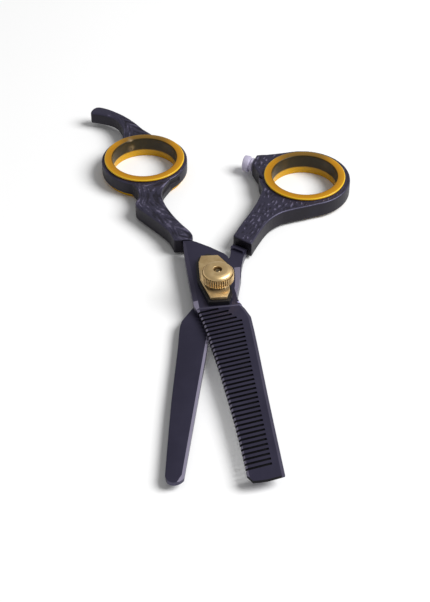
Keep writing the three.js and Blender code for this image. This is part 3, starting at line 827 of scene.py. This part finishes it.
def ringInsert(name, node, body, withNub):
    low, high = boxOf(node)
    centre = ((low + high) / 2)[:2]
    outer = (high - low)[0] / 2
    top = high[2]
    bore, wall = insert["bore"], insert["wall"]
    corners = [(bore, 0), (outer, 0), (outer, insert["lowerFlange"]), (wall, insert["lowerFlange"]),
               (wall, top - insert["flange"]), (outer, top - insert["flange"]), (outer, top), (bore, top)]
    profile = rounded(corners, insert["rounding"])
    rows = np.linspace(top - 0.5, 0.5, insert["boreRows"])
    profile = np.vstack([profile, np.column_stack([np.full(len(rows), bore), rows])])
    points, faces = revolve(profile, insert["sides"], centre)
    if withNub:
        angle = math.radians(insert["nubAngle"])
        inward = -np.array([math.cos(angle), math.sin(angle)])
        middle = centre - inward * bore
        away = points - np.array([*middle, insert["nubHeight"]])
        onBore = np.linalg.norm(points[:, :2] - centre, axis=1) < bore + 0.3
        bump = np.exp(-(np.linalg.norm(away, axis=1) / insert["nubRadius"]) ** 2) * onBore
        seam = np.exp(-(np.linalg.norm(away[:, :2], axis=1) / insert["seamWidth"]) ** 2)
        seam *= (points[:, 2] > insert["seamStart"]) * onBore
        points[:, :2] += inward * (insert["nubPush"] * bump + insert["seamPush"] * seam)[:, None]
    piece = makePiece(name, points, faces, amber, 50)
    faceOut(piece.data)
    spots = np.array([v.co for v in piece.data.vertices]) / mm
    across = np.linalg.norm(spots[:, :2] - centre, axis=1)
    # the bore wall above the lower flange is painted dark as shade
    inBore = 1 - smoothStep(across, bore + 0.05, bore + 0.5)
    boreShade = inBore * smoothStep(spots[:, 2], insert["lowerFlange"] - 0.2, insert["lowerFlange"] + 0.3)
    setValues(piece.data, "shade", boreShade)
    onTop = smoothStep(spots[:, 2], top - 0.55, top - 0.2)
    # a painted highlight along the outer top edge
    setValues(piece.data, "line", onTop * smoothStep(across, outer - 0.40, outer - 0.10))
    # the far side of the top rim is painted darker as shade
    farSideShade = smoothStep((spots[:, 1] - centre[1]) / across, 0.55, 0.95)
    setValues(piece.data, "back", insert["farSideShade"] * onTop * farSideShade)
    nub = np.zeros(len(spots))
    if withNub:
        away = spots - np.array([*middle, insert["nubHeight"]])
        nub = np.exp(-(np.linalg.norm(away, axis=1) / insert["nubGlow"]) ** 2)
        overIt = np.exp(-(np.linalg.norm(away[:, :2], axis=1) / insert["seamGlow"]) ** 2)
        nub = np.maximum(nub, onTop * overIt)
    setValues(piece.data, "nub", nub)
    # height drives painted light: the lower part is painted lighter
    setValues(piece.data, "height", smoothStep(spots[:, 2], 1.5, 7.0))
    shade(piece.data, 50)
    finishPiece(piece, body, "amber_insert", node)


ringInsert("fingerInsert", "finger_ring_insert", "finger_half", True)
ringInsert("thumbInsert", "thumb_ring_insert", "thumb_half", False)


# Bumper.

bumper = {"turn": 160.7, "sides": 64, "stem": 1.2, "stemLength": 3.4, "flange": 2.3, "flangeStart": 0.3,
          "flangeEnd": 1.0, "neck": 2.0, "neckEnd": 1.6, "head": 2.7, "headEnd": 3.7,
          "rounding": 0.55, "axisGap": 0.02}


def bumperPiece():
    size = bumper
    corners = [(size["axisGap"], -size["stemLength"]), (size["stem"], -size["stemLength"]),
               (size["stem"], size["flangeStart"]), (size["flange"], size["flangeStart"]),
               (size["flange"], size["flangeEnd"]),
               (size["neck"], size["flangeEnd"]), (size["neck"], size["neckEnd"]),
               (size["head"], size["neckEnd"]), (size["head"], size["headEnd"]),
               (size["axisGap"], size["headEnd"])]
    points, faces = revolve(rounded(corners, size["rounding"], 5), size["sides"])
    turn = math.radians(size["turn"])
    along = np.array([math.cos(turn), math.sin(turn), 0])
    spots = np.array([v.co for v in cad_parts["bumper"].data.vertices]) / mm
    reach = spots @ along
    endCentre = spots[reach > reach.max() - 0.02].mean(axis=0)
    side = np.array([-along[1], along[0], 0])
    upright = np.array([0, 0, 1.0])
    placed = endCentre + np.outer(points[:, 2] - size["headEnd"], along)
    placed += np.outer(points[:, 0], side) + np.outer(points[:, 1], upright)
    piece = makePiece("bumperStop", placed, faces, silicone, 60)
    faceOut(piece.data)
    shade(piece.data, 60)
    finishPiece(piece, "thumb_half", "clear_bumper", "bumper")


bumperPiece()


# Pivot parts.

knob = {"ridges": 44, "ridgeRadius": 0.22, "root": 4.43, "flat": 3.0, "dome": 1.1, "recess": 3.7,
        "bore": 1.8, "eye": 1.3, "edge": 0.12, "sides": 132, "shoulder": [(3.75, 0.88), (4.2, 0.55)],
        "roof": 0.1, "ridgeSides": 10}


def knurlTree():
    # joins a ring of upright ridges to the knob's body
    tree = bpy.data.node_groups.new("knurl", "GeometryNodeTree")
    for label, kind in [("Body", "NodeSocketGeometry"), ("Count", "NodeSocketInt"),
                        ("Ring Radius", "NodeSocketFloat"), ("Ridge Radius", "NodeSocketFloat"),
                        ("Ridge Height", "NodeSocketFloat"), ("Level", "NodeSocketFloat"),
                        ("Material", "NodeSocketMaterial")]:
        tree.interface.new_socket(label, in_out="INPUT", socket_type=kind)
    tree.interface.new_socket("Geometry", in_out="OUTPUT", socket_type="NodeSocketGeometry")
    start = tree.nodes.new("NodeGroupInput").outputs
    add = tree.nodes.new
    link = tree.links.new
    circle = add("GeometryNodeMeshCircle")
    link(start["Count"], circle.inputs["Vertices"])
    link(start["Ring Radius"], circle.inputs["Radius"])
    lift = add("ShaderNodeCombineXYZ")
    link(start["Level"], lift.inputs["Z"])
    raised = add("GeometryNodeTransform")
    link(circle.outputs[0], raised.inputs["Geometry"])
    link(lift.outputs[0], raised.inputs["Translation"])
    ridge = add("GeometryNodeMeshCylinder")
    ridge.inputs["Vertices"].default_value = knob["ridgeSides"]
    link(start["Ridge Radius"], ridge.inputs["Radius"])
    link(start["Ridge Height"], ridge.inputs["Depth"])
    spread = add("GeometryNodeInstanceOnPoints")
    link(raised.outputs[0], spread.inputs["Points"])
    link(ridge.outputs["Mesh"], spread.inputs["Instance"])
    join = add("GeometryNodeJoinGeometry")
    link(spread.outputs[0], join.inputs[0])
    link(start["Body"], join.inputs[0])
    real = add("GeometryNodeRealizeInstances")
    link(join.outputs[0], real.inputs[0])
    paint = add("GeometryNodeSetMaterial")
    link(real.outputs[0], paint.inputs["Geometry"])
    link(start["Material"], paint.inputs["Material"])
    end = add("NodeGroupOutput")
    link(paint.outputs[0], end.inputs[0])
    return tree


def grownByTree(piece, tree, values):
    # runs a tree on a piece and keeps the result as its plain mesh
    modifier = piece.modifiers.new(tree.name, "NODES")
    modifier.node_group = tree
    for item in tree.interface.items_tree:
        if item.in_out == "INPUT" and item.name in values:
            modifier[item.identifier] = values[item.name]
    graph = bpy.context.evaluated_depsgraph_get()
    mesh = bpy.data.meshes.new_from_object(piece.evaluated_get(graph))
    piece.modifiers.remove(modifier)
    piece.data = mesh
    return piece


def tensionKnob():
    low, high = boxOf("tension_knob")
    bottom, top = low[2], high[2]
    band = top - knob["dome"]
    ceiling = boxOf("disc_spring_upper")[1][2] + knob["roof"]
    eyeFloor = band + knob["roof"]
    shoulder = [(radius, band + rise) for radius, rise in knob["shoulder"]]
    corners = [(knob["eye"], top), (knob["flat"], top), *shoulder,
               (knob["root"] + 0.02, band), (knob["root"], bottom), (knob["recess"], bottom),
               (knob["recess"], ceiling), (knob["bore"], ceiling), (knob["bore"], eyeFloor),
               (knob["eye"], eyeFloor)]
    points, faces = revolve(rounded(corners, knob["edge"], 3), knob["sides"])
    piece = makePiece("tensionKnob", points, faces, knobBrass, 40)
    faceOut(piece.data)
    height = (band - bottom - 0.1) * mm
    grownByTree(piece, knurlTree(), {
        "Count": knob["ridges"],
        "Ring Radius": (boxOf("tension_knob")[1][0] - knob["ridgeRadius"]) * mm,
        "Ridge Radius": knob["ridgeRadius"] * mm,
        "Ridge Height": height,
        "Level": (bottom + band) / 2 * mm,
        "Material": knobBrass,
    })
    spots = np.array([v.co for v in piece.data.vertices]) / mm
    across = np.linalg.norm(spots[:, :2], axis=1)
    # the knurl band and the recess are painted dark as shade
    onBand = (spots[:, 2] < band - 0.02) & (across < knob["root"] + 0.1)
    setValues(piece.data, "groove", onBand)
    shade(piece.data, 40)
    finishPiece(piece, "knob", "brass", "tension_knob")


def bevelled(name, node, body, slot, material, width, attribute=None):
    # the node's solid with a fine round along its edges
    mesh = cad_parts[node].data.copy()
    mesh.name = name
    work = bmesh.new()
    work.from_mesh(mesh)
    bmesh.ops.remove_doubles(work, verts=work.verts, dist=0.002 * mm)
    bmesh.ops.dissolve_limit(work, angle_limit=math.radians(1), verts=work.verts, edges=work.edges)
    work.to_mesh(mesh)
    work.free()
    mesh.materials.clear()
    mesh.materials.append(material)
    piece = bpy.data.objects.new(name, mesh)
    bpy.context.scene.collection.objects.link(piece)
    bevel = piece.modifiers.new("edge", "BEVEL")
    bevel.width = width * mm
    bevel.segments = 3
    bevel.limit_method = "ANGLE"
    bevel.angle_limit = math.radians(30)
    graph = bpy.context.evaluated_depsgraph_get()
    made = bpy.data.meshes.new_from_object(piece.evaluated_get(graph))
    piece.modifiers.clear()
    piece.data = made
    if attribute:
        setValues(made, attribute, np.zeros(len(made.vertices)))
    shade(made, 35)
    finishPiece(piece, body, slot, node)


tensionKnob()
bevelled("tensionPlate", "tension_plate", "finger_half", "brass", plateBrass, 0.18, "groove")
bevelled("tensionBase", "tension_base", "finger_half", "black_plastic", black, 0.15)
bevelled("pivotStud", "pivot_stud", "thumb_half", "pivot_steel", studMetal, 0.06)

for node, material in [("pivot_bush", bushPlastic), ("thrust_washer", turnedMetal),
                       ("disc_spring_lower", turnedMetal), ("disc_spring_upper", turnedMetal)]:
    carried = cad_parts[node].data
    carried.materials.clear()
    carried.materials.append(material)


# Table, light and camera.

studio = {"floor": (0.93, 0.93, 0.93), "world": 0.33, "key": 25.0, "keySize": 0.9,
          "keyPlace": (0.95, -0.12, 1.05), "floorHalf": 3000}
cameraPlace = {"location": (-0.798, -298.83, 264.7), "pitch": 41.45, "lens": 79.0}


def makeFloor():
    look = Finish("pale table", Roughness=0.6, Specular_IOR_Level=0.2)
    look.shader.inputs["Base Color"].default_value = (*studio["floor"], 1)
    half = studio["floorHalf"]
    floor = makePiece("table", [(-half, -half, 0), (half, -half, 0), (half, half, 0), (-half, half, 0)],
                      [(0, 1, 2, 3)], look.material)


def softLight(name, place, size, power):
    data = bpy.data.lights.new(name, "AREA")
    data.shape = "DISK"
    data.size = size
    data.energy = power
    light = bpy.data.objects.new(name, data)
    light.location = place
    light.rotation_euler = (Vector((0, 0, 0)) - Vector(place)).to_track_quat("-Z", "Y").to_euler()
    bpy.context.scene.collection.objects.link(light)


def makeWorld():
    world = bpy.data.worlds.new("studio")
    bpy.context.scene.world = world
    world.use_nodes = True
    background = world.node_tree.nodes["Background"]
    background.inputs["Color"].default_value = (1, 1, 1, 1)
    background.inputs["Strength"].default_value = studio["world"]


def makeCamera():
    data = bpy.data.cameras.new("camera")
    data.lens = cameraPlace["lens"]
    data.sensor_width = 36
    camera = bpy.data.objects.new("camera", data)
    camera.location = Vector(cameraPlace["location"]) * mm
    camera.rotation_euler = (math.radians(90 - cameraPlace["pitch"]), 0, 0)
    bpy.context.scene.collection.objects.link(camera)
    bpy.context.scene.camera = camera


makeFloor()
softLight("key", studio["keyPlace"], studio["keySize"], studio["key"])
makeWorld()
makeCamera()
bpy.context.scene.view_settings.view_transform = "Standard"
print("stage set")
